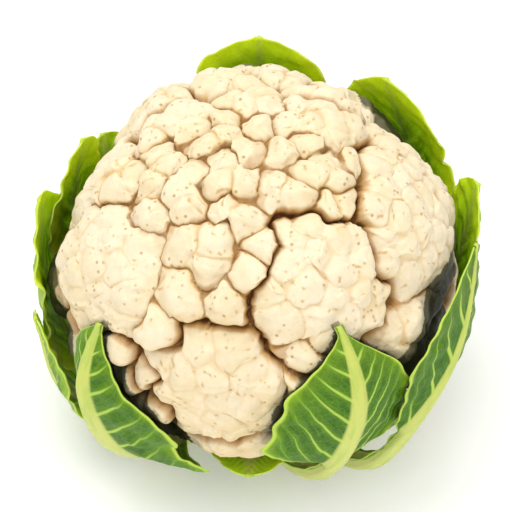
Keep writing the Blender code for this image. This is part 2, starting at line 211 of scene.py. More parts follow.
# The curd
curd = {
    # the plain head: heights and radii, and the elevations between which its underside pulls in
    "centreHeight": 80 * mm, "radius": 87 * mm, "topRadius": 76 * mm, "underRadius": 46 * mm,
    "underStarts": 20.0, "underEnds": 72.0, "frontSag": 12.0, "flatHeight": 36 * mm,
    # hollows, or bulges where the depth is negative: azimuth, elevation, reach in degrees, depth in mm
    "hollows": ((26, 29, 30, 9), (62, 45, 26, 2), (160, 24, 36, 12), (195, 6, 30, -1.5), (352, 3, 28, -2.5)),
    # knobs: how far apart, how they fill a floret, and the rings of them underneath
    "knobPitch": 12.6 * mm, "packing": 0.87, "knobSpread": 0.93, "oneKnobBelow": 9.5 * mm,
    "underPitch": 21 * mm, "underRings": (-38, -52), "underClear": 0.75,
    # creases between florets, crevices between groups of them, and seams between knobs
    "creaseShare": 0.19, "creaseLimit": 6.5 * mm, "rounding": 0.22, "withinGroup": 0.42,
    "creviceDepth": 5.0 * mm, "creviceWidth": 2.0 * mm,
    "knobCrease": 0.9 * mm, "knobCreaseWidth": 1.9 * mm,
    "cornerRounding": 1.0 * mm, "roundAt": 1.0, "roundSpan": 0.4, "roundBy": 0.35,
    # domes of florets and knobs
    "floretDome": 4.0 * mm, "domePower": 0.40, "domeLowest": -0.42,
    "knobDome": 1.0 * mm, "knobLift": 0.5 * mm,
    "cornerStarts": 1.12, "cornerSpan": 0.3, "bigStarts": 12 * mm, "bigSpan": 12 * mm,
    # beads, pits and unevenness all over
    "beadPitch": 4.4 * mm, "beadCrease": 0.12 * mm, "beadSeam": 0.8 * mm, "beadDome": 0.20 * mm,
    "beadScatter": 0.28, "pitShare": 0.14, "pitWidth": 1.8 * mm, "pitDepth": 0.2 * mm,
    "uneven": 0.25 * mm, "unevenPitch": 7 * mm, "fadePitch": 22 * mm,
    # sideways drifts of the creases: share of a mm, wavelength, seed
    "drifts": ((0.9, 15 * mm, 20), (0.35, 5 * mm, 30)),
    # how wide the painted shade in each crease is
    "creviceBand": 2.8 * mm, "floretBand": 1.0 * mm, "knobBand": 1.5 * mm, "beadBand": 0.6 * mm,
    # smoothing, which creases resist, the points worked on at a time and the seed
    "softenRounds": 3, "holdWidth": 0.7 * mm, "batch": 8192, "seed": 7,
    # colours from the flesh up, with painted shade for sides that face down, for creases, corners
    # and crevices and for gaps under the leaves, and the scales of what breaks them up
    "flesh": {
        "pale": (0.79, 0.69, 0.50), "warm": (0.76, 0.635, 0.40), "beadTop": (0.87, 0.76, 0.56),
        "undersideShade": (0.74, 0.54, 0.25), "beadSeam": (0.76, 0.57, 0.29), "grain": (0.70, 0.50, 0.24),
        "knobCreaseShade": (0.66, 0.42, 0.15), "floretCreaseShade": (0.55, 0.32, 0.10), "corner": (0.42, 0.22, 0.06),
        "line": (0.24, 0.11, 0.03), "crevice": (0.50, 0.27, 0.07), "deepest": (0.13, 0.045, 0.010),
        "speck": (0.45, 0.26, 0.09), "pitHalo": (0.66, 0.45, 0.18), "pit": (0.44, 0.24, 0.07),
        "gapShade": (0.022, 0.026, 0.006),
        "patchScale": 38, "grainScale": 900, "breakScale": 120, "speckScale": 250, "clusterScale": 60,
        "roughness": 0.62, "glow": 0.18, "glowDepth": 0.002, "shine": 0.35, "bump": 0.35, "bumpDepth": 0.0004,
    },
}

# azimuth and elevation in degrees from the head's centre, radius in mm, group
frontFlorets = [
    (258, -4, 27, "low"), (262, -25, 15, "bottom"), (281, 4, 9, "low"), (236, -7, 8, "low"),
    (294, 30, 28, "right"), (286, 11, 8, "right"), (300, -13, 15, "right low"),
    (337, 33, 30, "far right"), (317, 4, 13, "far right"),
    (102, 81, 14, "crown"), (6, 69, 19, "crown"), (331, 68, 8, "crown"), (333, 59, 9, "crown"),
    (173, 63, 18, "crown"), (190, 79, 8, "crown"),
    (282, 85, 8, "crown"), (300, 72, 9, "crown"), (229, 74, 12, "crown"), (206, 55, 12, "crown"),
    (314, 58, 11, "crown"), (306, 50, 10, "crown"), (254, 63, 11, "crown"), (288, 58, 10, "crown"),
    (230, 54, 12, "crown"), (221, 45, 8, "crown"), (259, 51, 10, "crown"), (290, 46, 8, "crown"),
    (276, 42, 9, "crown"), (249, 41, 12, "crown"), (196, 42, 14, "crown"),
    (271, 35, 9, "crown"), (260, 27, 8, "crown"), (247, 26, 9, "crown"), (240, 14, 9, "crown"),
    (214, 20, 27, "crown"), (229, 3, 8, "left low"),
]
# rings of florets round the back: first azimuth, step, count, elevation, radius in mm
backRings = [(11, 39, 5, 25, 26), (38, 38, 4, 57, 17), (325, 31, 5, -15, 15), (120, 31, 5, -14, 15)]


def layFlorets():
    # each floret's direction and radius, and the number of the group that it grows in
    rows = [row[:3] for row in frontFlorets]
    names = [row[3] for row in frontFlorets]
    for first, step, count, elevation, radius in backRings:
        rows += [(first + step * i, elevation + 4 * (-1) ** i, radius) for i in range(count)]
        names += [(first, i) for i in range(count)]
    azimuth, elevation, radius = np.array(rows, float).T
    groups = np.array([names.index(name) for name in names])
    return directionOf(azimuth, elevation), radius * mm, groups


def pushApart(points, pitch, rounds=12, share=0.35):
    # points on the unit sphere that lie closer than the pitch move away from each other
    for _ in range(rounds):
        gap = points[:, None] - points[None, :]
        distance = np.linalg.norm(gap, axis=2) + np.eye(len(points)) * 9
        push = np.clip(pitch / curd["radius"] - distance, 0, None) / distance
        points = unitOf(points + share * (gap * push[:, :, None]).sum(axis=1))
    return points


def layKnobs(florets, floretRadii):
    # knobs fill each floret in a spiral; underneath they lie in rings and belong to none
    rng = np.random.default_rng(curd["seed"])
    points, owners = [], []
    for i, (centre, radius) in enumerate(zip(florets, floretRadii)):
        side = unitOf(np.cross(centre, (0.3, 0.2, 1.0)))
        up = np.cross(centre, side)
        count = round(math.pi * radius**2 / (curd["packing"] * curd["knobPitch"] ** 2))
        count = 1 if radius < curd["oneKnobBelow"] else count
        turn, spread = rng.uniform(0, 2 * math.pi), curd["knobSpread"] * radius / curd["radius"]
        for k in range(count):
            reach = spread * math.sqrt((k + 0.5) / count) if count > 1 else 0.0
            angle = turn + k * math.pi * (3 - math.sqrt(5))
            points.append(centre + reach * (math.cos(angle) * side + math.sin(angle) * up))
            owners.append(i)
    points, owners = unitOf(np.array(points)), np.array(owners)
    near = np.linalg.norm(points[:, None] - florets[None], axis=2) ** 2 - (floretRadii / curd["radius"]) ** 2
    keep = near.argmin(axis=1) == owners
    points, owners = pushApart(points[keep], curd["knobPitch"]), owners[keep]
    lift = rng.uniform(-curd["knobLift"], curd["knobLift"], len(points))
    rings = []
    for elevation in curd["underRings"]:
        count = int(2 * math.pi * curd["radius"] * math.cos(math.radians(elevation)) / curd["underPitch"])
        around = np.arange(count) * 360 / count + elevation
        rings.append(directionOf(around, np.full(count, float(elevation))))
    rings = np.concatenate(rings)
    nearest = np.linalg.norm(rings[:, None] - points[None], axis=2).min(axis=1)
    rings = rings[nearest > curd["underClear"] * curd["underPitch"] / curd["radius"]]
    points = np.concatenate([points, rings])
    owners = np.concatenate([owners, np.full(len(rings), -1)])
    return points, owners, np.concatenate([lift, np.zeros(len(rings))])


def creaseShape(distance, width):
    # about 0.76 at a crease's bottom and 0 from a width away, with round shoulders
    x = 0.97 * (1 - np.clip(distance / width, 0, 1))
    return 1 - np.sqrt(1 - x * x)


def roundedEdge(near):
    # the distance to the nearest border, shorter where borders meet
    return np.maximum(-curd["cornerRounding"] * np.log(near.sum(axis=1) + 1e-12), 0)


def hollowDepth(unit):
    depth = np.zeros(len(unit))
    for azimuth, elevation, reach, deepest in curd["hollows"]:
        apart = np.degrees(np.arccos(np.clip(unit @ directionOf(azimuth, elevation), -1, 1)))
        depth += deepest * mm * eased(1 - apart / reach)
    return depth


def hullOf(points):
    # the triangles that join points on the unit sphere
    hull = bmesh.new()
    for point in points:
        hull.verts.new(point)
    hull.verts.index_update()
    bmesh.ops.convex_hull(hull, input=hull.verts)
    bmesh.ops.triangulate(hull, faces=hull.faces)
    return hull


def curdNet(knobs):
    # points on knob tops, in rings round them and along every crease, so that creases come out clean
    hull = hullOf(knobs)
    corners = {}
    for face in hull.faces:
        face.normal_update()
        corner = np.array(face.normal)
        corners[face] = corner if corner @ np.array(face.verts[0].co) > 0 else -corner
    net = [knobs]
    for edge in hull.edges:
        a, b = (corners[face] for face in edge.link_faces)
        ends = [knobs[vert.index] for vert in edge.verts]
        for u in (0.0, 0.25, 0.5, 0.75, 1.0):
            border = unitOf(a * (1 - u) + b * u)
            net.append(border[None])
            rings = (0.86, 0.64, 0.36) if u in (0.0, 0.5) else (0.86,)
            net += [unitOf(end * (1 - f) + border * f)[None] for end in ends for f in rings]
    hull.free()
    net = np.concatenate(net)
    shell = bmesh.new()
    for point in net:
        shell.verts.new(point)
    bmesh.ops.remove_doubles(shell, verts=shell.verts, dist=0.55 * mm / curd["radius"])
    points = np.array([vert.co for vert in shell.verts])
    shell.free()
    shell = hullOf(points)
    loose = [vert for vert in shell.verts if not vert.link_faces]
    bmesh.ops.delete(shell, geom=loose, context="VERTS")
    for _ in range(2):
        bmesh.ops.subdivide_edges(shell, edges=shell.edges, cuts=1, use_grid_fill=True)
    bmesh.ops.triangulate(shell, faces=shell.faces)
    bmesh.ops.recalc_face_normals(shell, faces=shell.faces)
    return meshOf("curd_visual", shell)


def beadLayer(unit):
    # beads all over: each point's distance from its bead's top and edge, its pit and its bead's tone
    count = int(4 * math.pi * curd["radius"] ** 2 / (curd["packing"] * curd["beadPitch"] ** 2))
    k = np.arange(count) + 0.5
    z, around = 1 - 2 * k / count, k * math.pi * (1 + math.sqrt(5))
    level = np.sqrt(1 - z * z)
    beads = np.stack([np.cos(around) * level, np.sin(around) * level, z], axis=-1)
    rng = np.random.default_rng(curd["seed"] + 1)
    scatter = curd["beadScatter"] * curd["beadPitch"] / curd["radius"]
    beads = unitOf(beads + rng.normal(scale=scatter, size=beads.shape))
    tree = KDTree(count)
    for i, bead in enumerate(beads):
        tree.insert(bead, i)
    tree.balance()
    found = [tree.find_n(point, 3) for point in unit]
    near = np.array([[hit[2] for hit in hits] for hits in found]) * curd["radius"]
    index = np.array([[hit[1] for hit in hits] for hits in found])
    edge = (near[:, 1] - near[:, 0]) / 2
    meeting = np.hypot(near[:, 2] - near[:, 0], near[:, 1] - near[:, 0])
    chance = np.abs(np.sin(index.sum(axis=1) * 12.9898) * 43758.5453) % 1
    pit = np.where(chance < curd["pitShare"], np.clip(1 - meeting / curd["pitWidth"], 0, 1), 0)
    tone = np.abs(np.sin(index[:, 0] * 78.233) * 12543.123) % 1
    return near[:, 0], edge, pit, tone


def softened(mesh, points, rounds, hold):
    # each point moves towards the middle of its neighbours, less where it is held
    ends = np.empty(len(mesh.edges) * 2, np.int64)
    mesh.edges.foreach_get("vertices", ends)
    first, second = ends.reshape(-1, 2).T
    links = np.bincount(ends, minlength=len(points))[:, None]
    for _ in range(rounds):
        total = np.stack([np.bincount(first, points[second, i], len(points))
                          + np.bincount(second, points[first, i], len(points)) for i in range(3)], axis=-1)
        points = points + 0.5 * (1 - hold)[:, None] * (total / links - points)
    return points


def floretRelief(unit, knobs, owners, lift):
    # how far each point is raised, its distance from the borders of its group, floret and knob,
    # how deep in a corner between florets it lies, and how big its floret is
    florets, floretRadii, groups = layFlorets()
    count, radius = len(unit), curd["radius"]
    raised, groupEdge, floretEdge, knobEdge, corner, big = (np.zeros(count) for _ in range(6))
    apart = np.linalg.norm(knobs[:, None] - knobs[None], axis=2)
    usual = np.sort(apart, axis=1)[:, 1:6].mean(axis=1) / 2 * radius
    knobGroups = np.where(owners < 0, -1, groups[owners])
    for start in range(0, count, curd["batch"]):
        part = slice(start, min(start + curd["batch"], count))
        squared = 2 - 2 * unit[part] @ knobs.T
        own = squared.argmin(axis=1)
        row = np.arange(len(own))
        border = (squared - squared[row, own][:, None]) / (2 * apart[own] + 1e-9) * radius
        border[row, own] = 1.0
        grows = owners[own]
        across = np.where(owners[None] == grows[:, None], 1.0, border)
        beyond = owners[across.argmin(axis=1)]
        # borders that meet add up, and a knob's far corners are cut back: both round it
        fromTop = np.sqrt(np.clip(squared[row, own], 0, None)) * radius
        keep = 1 - curd["roundBy"] * eased((fromTop / usual[own] - curd["roundAt"]) / curd["roundSpan"])
        near = np.exp(-border / curd["cornerRounding"])
        knobEdge[part] = roundedEdge(near) * keep
        floretEdge[part] = roundedEdge(near * (owners[None] != grows[:, None])) * keep
        groupEdge[part] = roundedEdge(near * (knobGroups[None] != knobGroups[own][:, None])) * keep
        smaller = np.minimum(floretRadii[grows], floretRadii[beyond])
        smaller = smaller * np.where(groups[grows] == groups[beyond], curd["withinGroup"], 1.0)
        big[part] = eased((floretRadii[grows] - curd["bigStarts"]) / curd["bigSpan"])
        depth = np.minimum(curd["creaseShare"] * smaller, curd["creaseLimit"])
        out = np.linalg.norm(unit[part] - florets[grows], axis=1) * radius / floretRadii[grows]
        share = (floretRadii[grows] / floretRadii.max()) ** curd["domePower"]
        dome = curd["floretDome"] * share * np.clip(1 - out**2, curd["domeLowest"], 1)
        corner[part] = np.where(grows < 0, 0, eased((out - curd["cornerStarts"]) / curd["cornerSpan"]))
        knobOut = fromTop / (0.5 * curd["knobPitch"])
        raised[part] = np.where(grows < 0, 0, dome - 0.5 * curd["floretDome"])
        raised[part] -= depth * creaseShape(floretEdge[part], curd["rounding"] * smaller)
        raised[part] += curd["knobDome"] * np.clip(1 - knobOut**2, -1, 1) + lift[own]
    return raised, groupEdge, floretEdge, knobEdge, corner, big


def headForm(unit):
    # the plain head's radius in each direction, and how far into its underside that is, 0 to 1
    elevation = np.degrees(np.arcsin(np.clip(unit[:, 2], -1, 1)))
    level = np.sqrt(np.clip(1 - unit[:, 2] ** 2, 0, 1))
    upper = 1 / np.sqrt((level / curd["radius"]) ** 2 + (unit[:, 2] / curd["topRadius"]) ** 2)
    starts = curd["underStarts"] + curd["frontSag"] * np.clip(-unit[:, 1], 0, 1)
    under = eased((-elevation - starts) / (curd["underEnds"] - starts))
    base = np.where(elevation > 0, upper, curd["radius"] + (curd["underRadius"] - curd["radius"]) * under)
    return base - hollowDepth(unit), under


def bandOf(edge, width):
    return np.clip(1 - edge / width, 0, 1)


def raiseCurd(mesh, knobs, owners, lift):
    count, radius = len(mesh.vertices), curd["radius"]
    unit = np.empty(count * 3)
    mesh.vertices.foreach_get("co", unit)
    unit = unitOf(unit.reshape(-1, 3))
    place = unit * radius
    raised, groupEdge, floretEdge, knobEdge, corner, big = floretRelief(unit, knobs, owners, lift)
    raised -= curd["creviceDepth"] * creaseShape(groupEdge, curd["creviceWidth"])
    # seams between knobs come and go, and are shallower on big florets
    fading = (0.30 + 0.70 * eased(0.5 + 0.7 * wander(place, curd["fadePitch"], 3))) * (1 - 0.40 * big)
    raised -= curd["knobCrease"] * creaseShape(knobEdge, curd["knobCreaseWidth"]) * fading
    beadOut, beadEdge, pit, tone = beadLayer(unit)
    print("beads laid over", count, "points")
    clear = eased((floretEdge - 0.6 * mm) / (2.0 * mm))  # no beads in the creases
    raised += curd["beadDome"] * (1 - (beadOut / (0.5 * curd["beadPitch"])) ** 2) * clear
    raised -= curd["beadCrease"] * bandOf(beadEdge, curd["beadSeam"]) ** 2 * clear
    raised -= curd["pitDepth"] * pit * clear
    raised += curd["uneven"] * wander(place, curd["unevenPitch"], 5) * clear
    form, under = headForm(unit)
    reach = form + (1 - under) * raised

    # creases wander a little sideways, as grown ones do
    drift = np.stack([sum(share * wander(place, wave, seed + i) for share, wave, seed in curd["drifts"])
                      for i in range(3)], axis=-1)
    bent = unitOf(unit + drift * (1 * mm / radius))
    # the underside ends flat over the stem
    drop = curd["flatHeight"] - curd["centreHeight"]
    reach = np.minimum(reach, np.where(bent[:, 2] < 0, drop / np.minimum(bent[:, 2], -1e-6), 1.0))
    points = bent * reach[:, None]
    points[:, 2] += curd["centreHeight"]
    hold = np.maximum(0.9 * bandOf(floretEdge, curd["holdWidth"]), points[:, 2] < curd["flatHeight"] + 1e-5)
    points = softened(mesh, points, curd["softenRounds"], hold)
    mesh.vertices.foreach_set("co", points.ravel())
    mesh.update()

    # what the finish reads
    normals = np.empty(count * 3)
    mesh.vertices.foreach_get("normal", normals)
    facing = wander(place, 30 * mm, 12) * 0.12 - normals.reshape(-1, 3)[:, 2]
    shown = 1 - under
    marks = {
        # painted shade: sides that face down are painted darker and warmer
        "undersideShade": eased((facing + 0.30) / 0.95),
        # crevices, creases, corners and bead edges are marked for painted shade
        "crevice": bandOf(groupEdge, curd["creviceBand"]) * shown,
        "floretCrease": bandOf(floretEdge, curd["floretBand"]) * shown,
        "knobCrease": bandOf(knobEdge, curd["knobBand"]) * fading * shown,
        "corner": corner * shown,
        "beadEdge": bandOf(beadEdge, curd["beadBand"]),
        "pit": pit,
        "beadTone": tone,
    }
    for name, values in marks.items():
        pointValues(mesh, name, values)


def curdFinish():
    flesh = curd["flesh"]
    finish, tree, shader = newFinish(
        "curd_flesh", flesh["roughness"], Subsurface_Weight=flesh["glow"],
        Subsurface_Scale=flesh["glowDepth"], Subsurface_Radius=(1.0, 0.8, 0.5),
        Specular_IOR_Level=flesh["shine"])
    where = tree.nodes.new("ShaderNodeTexCoord").outputs["Object"]
    seam, crevice, pit = (readValue(tree, name) for name in ("floretCrease", "crevice", "pit"))
    broken = remap(tree, noiseAt(tree, flesh["breakScale"], 2, where), 0.3, 0.62, 0.35, 1.0)
    specks = remap(tree, cellsAt(tree, flesh["speckScale"], "F1", where), 0.08, 0.25, 1.0, 0.0)
    clusters = remap(tree, noiseAt(tree, flesh["clusterScale"], 2, where), 0.42, 0.56, 0.0, 0.85)
    # each layer's colour, and how much of it shows, the last on top
    layers = (
        ("beadTop", remap(tree, readValue(tree, "beadTone"), 0.0, 1.0, 0.0, 0.35)),
        # painted shade on sides that face down
        ("undersideShade", times(tree, readValue(tree, "undersideShade"), 0.55)),
        # painted shade down to the deepest layer, but for the grain: darker in the seams between beads, knobs
        # and florets, in corners, along a crease's bottom line and in crevices
        ("beadSeam", times(tree, readValue(tree, "beadEdge"), 0.20)),
        ("grain", remap(tree, noiseAt(tree, flesh["grainScale"], 2, where), 0.58, 0.72, 0.0, 0.22)),
        ("knobCreaseShade", remap(tree, readValue(tree, "knobCrease"), 0.2, 1.0, 0.0, 0.65)),
        ("floretCreaseShade", times(tree, remap(tree, seam, 0.30, 1.0), broken)),
        ("corner", times(tree, remap(tree, readValue(tree, "corner"), 0.25, 1.0, 0.0, 0.60), broken)),
        ("line", times(tree, remap(tree, seam, 0.55, 0.96, 0.0, 0.85), broken)),
        ("crevice", remap(tree, crevice, 0.25, 0.85, 0.0, 0.85)),
        ("deepest", times(tree, remap(tree, crevice, 0.72, 0.96), broken)),
        ("speck", times(tree, specks, clusters)),
        ("pitHalo", remap(tree, pit, 0.0, 0.45, 0.0, 0.35)),
        ("pit", remap(tree, pit, 0.35, 0.8, 0.0, 0.55)),
        # painted shade where leaves lie close over the curd
        ("gapShade", remap(tree, readValue(tree, "gapShade"), 0.15, 0.75, 0.0, 0.96)),
    )
    patches = noiseAt(tree, flesh["patchScale"], 3, where)
    colour = blendColour(tree, remap(tree, patches, 0.35, 0.68), flesh["pale"], flesh["warm"])
    for name, amount in layers:
        colour = blendColour(tree, amount, colour, flesh[name])
    tree.links.new(colour, shader.inputs["Base Color"])
    grains = cellsAt(tree, flesh["grainScale"], "SMOOTH_F1", where)
    bumpOn(tree, shader, grains, flesh["bump"], flesh["bumpDepth"])
    return finish


def makeCurd():
    florets, floretRadii, _ = layFlorets()
    knobs, owners, lift = layKnobs(florets, floretRadii)
    mesh = curdNet(knobs)
    print("curd net:", len(mesh.vertices), "points over", len(knobs), "knobs")
    raiseCurd(mesh, knobs, owners, lift)
    smoothAll(mesh)
    print("curd raised")
    return addPiece("curd_visual", mesh, "curd", curdFinish())


# The leaves
# whorl 0 is the lowest ring; base, tip and bow are azimuths and rise an elevation, in degrees;
# belly, reach, half width, keel and ruffle are in mm; shade is 0 for a dark leaf and 1 for a young one;
# the lighter inner face is partly painted light for leaves that lie in shade, and below 0 a leaf is painted
# darker, as shade
leafFields = ("whorl", "base", "tip", "rise", "belly", "reach", "half", "keel", "ruffle", "point", "ahead",
              "skew", "start", "bow", "shade")
leafRows = {
    "leaf_front_left": (0, 236, 226, 12, 5, 4, 21.5, 5.5, 1.0, 1.0, 1.3, 0.95, 0.22, -8, 0.1),
    "leaf_front_right": (0, 276, 292, 20, 4.5, 4, 30, 2.5, 2.5, 1.5, 1.6, -0.15, 0.45, 9.5, 0.1),
    "leaf_front_low": (1, 266, 268, -34, 1, 7, 15, 0, 1.0, 0.6, 0.6, 0, 0.2, 0, 0.6),
    "leaf_right_low": (1, 320, 320, -16, 2, 2, 18, 0, 1.0, 0.6, 0.6, 0, 0.2, 0, 0.5),
    # this leaf's shade below 0 paints it darker, as painted shade
    "leaf_right": (0, 314, 345, 16, 8, 9, 25, 3, 2.5, 0.5, 0.8, -0.3, 0.55, -20, -0.15),
    "leaf_right_back": (2, 10, 8, 17, 2.5, 11, 24, 0, 1.5, 0.6, 0.6, 0, 0.2, 0, 0.8),
    "leaf_back_right": (1, 42, 45, 33.5, 7.5, 7, 30, 0, 2.0, 0.5, 0.65, 0.05, 0.2, 0, 0.9),
    "leaf_back": (2, 86, 89, 39.5, 3.8, 8.5, 31, 0, 2.0, 0.6, 0.6, 0, 0.2, 0, 0.9),
    "leaf_back_outer_right": (0, 62, 78, 6, 13.5, 11, 20, 1, 3.0, 0.6, 0.6, 0, 0.2, 0, 0.5),
    "leaf_back_outer_left": (0, 104, 106, 8, 11.5, 11, 20, 1, 3.0, 0.6, 0.6, 0, 0.2, 0, 0.5),
    "leaf_back_left": (1, 136, 135, 8, 7.5, 10, 26, 0, 1.5, 0.6, 0.6, 0, 0.2, 0, 0.6),
    "leaf_left_back": (2, 152, 153, 22, 2.0, 2, 22, 0, 1.5, 0.6, 0.6, 0.25, 0.2, 0, 0.9),
    "leaf_left": (1, 182, 174, 14.5, 5, 7, 29, 0, 2.0, 0.6, 0.6, 0, 0.2, 0, 0.9),
    "leaf_left_low": (0, 196, 199, -4, 10, 9.5, 20, 1, 2.5, 0.6, 0.6, 0, 0.2, 0, 0.6),
}
leaf = {
    "whorlHeight": (10 * mm, 19.5 * mm, 29.5 * mm),
    "under": ((52 * mm, 15 * mm), (50 * mm, 23.5 * mm), (46 * mm, 31 * mm)),
    "shoulder": ((-32.0, 2 * mm), (-30.0, 1.5 * mm), (-26.0, 1 * mm)),
    "bedRadius": 86 * mm, "start": 24.2 * mm, "petioleHalf": 8.0 * mm, "petioleTaper": 1.4,
    "bladeThick": 1.1 * mm, "ribThickBase": 7.6 * mm, "ribThickTip": 0.8 * mm, "ribThinning": 2.4,
    "ribHalfBase": 7.6 * mm, "ribHalfTip": 0.9 * mm, "ribTaper": 0.85, "ribColumns": 0.3, "ribWidest": 0.7,
    "waves": 3.0, "scallop": 0.07, "frill": 0.9 * mm, "ragged": 0.035,
    "crinkle": 0.35 * mm, "crinklePitch": 9 * mm,
    "stations": 110, "columns": 46,
    # side veins: how they are spaced and slant, and how far they stand out of each face
    "veinPairs": 11, "veinCrowding": 0.9, "veinTilt": 0.55, "veinSweep": 0.85, "veinCurl": 0.95,
    "veinRise": 0.35 * mm, "veinRiseInside": 0.25 * mm, "veinSwing": 0.4 * mm, "swingPitch": 18 * mm,
    # a dark leaf's colour, with what is added to it for a young one; on the inner face this is partly
    # painted light for leaves that lie in shade
    "shaded": {
        "deep": ((0.018, 0.085, 0.002), (0.07, 0.12, 0)), "middle": ((0.078, 0.215, 0.004), (0.38, 0.46, 0)),
        "deepOut": ((0.020, 0.090, 0.003), (0.03, 0.06, 0)),
        "middleOut": ((0.080, 0.220, 0.006), (0.12, 0.16, 0)),
        "rim": ((0.38, 0.58, 0.012), (0.20, 0.22, 0)),
    },
    # a leaf's other colours; the last one is painted shade for where it lies close over the curd
    "colours": {
        "rimOut": (0.36, 0.56, 0.014), "bloom": (0.13, 0.25, 0.035), "net": (0.25, 0.42, 0.06),
        "vein": (0.52, 0.68, 0.11), "hem": (0.56, 0.74, 0.12), "ribFoot": (0.62, 0.64, 0.25),
        "ribTip": (0.56, 0.62, 0.13), "string": (0.36, 0.52, 0.09), "gapShade": (0.006, 0.022, 0.002),
    },
}


def midribPath(row):
    # a smooth curve of radius and height, from the stem under the head and up its side, and its lengths
    shoulder, out = leaf["shoulder"][row["whorl"]]
    stops = [(row["rise"], row["reach"] * mm)]
    if row["rise"] > shoulder + 5:
        stops.insert(0, (shoulder, row["belly"] * mm + out))
    if row["rise"] > shoulder + 40:
        stops.insert(1, ((shoulder + row["rise"]) / 2, row["belly"] * mm))
    points = [(leaf["start"], leaf["whorlHeight"][row["whorl"]]), leaf["under"][row["whorl"]]]
    for angle, off in stops:
        reach, turn = leaf["bedRadius"] + off, math.radians(angle)
        points.append((reach * math.cos(turn), curd["centreHeight"] + reach * math.sin(turn)))
    points = np.array(points)
    ends = np.concatenate([[2 * points[0] - points[1]], points, [2 * points[-1] - points[-2]]])
    fine = []
    for i in range(len(points) - 1):
        a, b, c, d = ends[i : i + 4]
        square, cube = 2 * a - 5 * b + 4 * c - d, 3 * b - a - 3 * c + d
        for t in np.linspace(0, 1, 16, endpoint=False):
            fine.append(0.5 * (2 * b + (c - a) * t + square * t**2 + cube * t**3))
    fine = np.array(fine + [points[-1]])
    length = np.concatenate([[0], np.cumsum(np.linalg.norm(np.diff(fine, axis=0), axis=1))])
    return fine, length


def alongPath(path, share):
    fine, length = path
    at = np.clip(share, 0, 1) * length[-1]
    return np.stack([np.interp(at, length, fine[:, 0]), np.interp(at, length, fine[:, 1])], axis=-1)


def bladeHalf(row, s, t):
    # half the leaf's width at s along its midrib, on the side that t's sign gives
    u = np.clip((s - row["start"]) / (1 - row["start"]), 0, 1)
    point = np.where(t > 0, row["ahead"], row["point"])
    widest = 1 / (1 + point)
    blade = u * (1 - u) ** point / (widest * (1 - widest) ** point)
    scallop = 1 + leaf["scallop"] * np.sin(2 * math.pi * (leaf["waves"] + 1) * s + row["base"])
    petiole = leaf["petioleHalf"] * (1 - s) ** leaf["petioleTaper"]
    return np.maximum(row["half"] * mm * blade * scallop + petiole, 2 * mm)


def leafSheet(row, s, t, seed):
    # a leaf's inner face, s along the midrib from 0 to 1 and t across it from -1 to 1, and its length
    path = midribPath(row)
    here = alongPath(path, s)
    along = unitOf(alongPath(path, np.minimum(s + 1e-3, 1)) - alongPath(path, np.maximum(s - 1e-3, 0)))
    outward = np.stack([along[..., 1], -along[..., 0]], axis=-1)
    half = bladeHalf(row, s, t)
    wide = np.clip((half - leaf["petioleHalf"]) / (20 * mm), 0, 1)
    folded = np.clip(1 - np.abs(t), 0, 1) ** 1.5 * eased((s - 0.12) / 0.3) * eased((1.02 - s) / 0.35)
    wave = 0.5 + 0.5 * np.sin(2 * math.pi * leaf["waves"] * s + 1.7 * row["base"] + 1.3 * np.sign(t))
    lifted = row["keel"] * mm * folded + row["ruffle"] * mm * np.abs(t) ** 2 * wave * wide
    rng = np.random.default_rng(seed)
    one, two, three = rng.uniform(0, 6.28, 3)
    frill = np.sin(2 * math.pi * 8.3 * s + one + 2.1 * np.sign(t))
    frill += 0.6 * np.sin(2 * math.pi * 13.7 * s + two - np.sign(t))
    lifted += leaf["frill"] * (0.6 + 1.2 * row["shade"]) * np.abs(t) ** 3 * frill * wide * 0.6
    notches = np.sin(2 * math.pi * 11 * s + three + 1.7 * np.sign(t))
    ragged = 1 + leaf["ragged"] * np.abs(t) ** 3 * notches * wide
    across = t * half * ragged * (1 + row["skew"] * np.sign(t) * wide) / here[..., 0]
    middle = row["base"] + (row["tip"] - row["base"]) * eased(s) + row["bow"] * np.sin(math.pi * s)
    azimuth = np.radians(middle) + across
    place = here + outward * lifted[..., None]
    level, height = place[..., 0], place[..., 1]
    return np.stack([level * np.cos(azimuth), level * np.sin(azimuth), height], axis=-1), path[1][-1]


def layVeins(row, t, lateral, along, length, seed):
    # side veins leave the midrib and sweep towards the tip: the phase is whole on each of them,
    # and the scale turns a share of it into metres across the vein
    pitch = length / leaf["veinPairs"] * leaf["veinCrowding"]
    sideHalf = row["half"] * mm * (1 + 0.6 * row["skew"] * np.sign(t))
    bend = lateral * leaf["veinSweep"] + leaf["veinCurl"] * lateral**2 / sideHalf
    spots = np.stack([lateral, along, np.sign(t) * 0.01], axis=-1).reshape(-1, 3)
    swing = wander(spots, leaf["swingPitch"], seed + 9).reshape(t.shape)
    phase = (along - bend + leaf["veinSwing"] * swing) / pitch + np.where(t > 0, 0.4, 0)
    return phase, pitch * leaf["veinTilt"]


def closeSheet(name, inside, outside):
    # a closed mesh from a leaf's two faces, each a grid of points
    rows, columns = inside.shape[:2]
    count = rows * columns
    index = np.arange(count).reshape(rows, columns)
    a, b, c, d = index[:-1, :-1], index[:-1, 1:], index[1:, 1:], index[1:, :-1]
    front = np.stack([a, b, c, d], axis=-1).reshape(-1, 4)
    back = front[:, ::-1] + count
    rim = np.concatenate([index[0], index[1:, -1], index[-1, -2::-1], index[-2:0:-1, 0]])
    side = np.stack([rim, np.roll(rim, -1), np.roll(rim, -1) + count, rim + count], axis=-1)[:, ::-1]
    points = np.concatenate([inside.reshape(-1, 3), outside.reshape(-1, 3)])
    mesh = meshFrom(name, points, np.concatenate([front, back, side]).tolist())
    bm = bmesh.new()
    bm.from_mesh(mesh)
    bmesh.ops.recalc_face_normals(bm, faces=bm.faces)
    bm.to_mesh(mesh)
    bm.free()
    return mesh


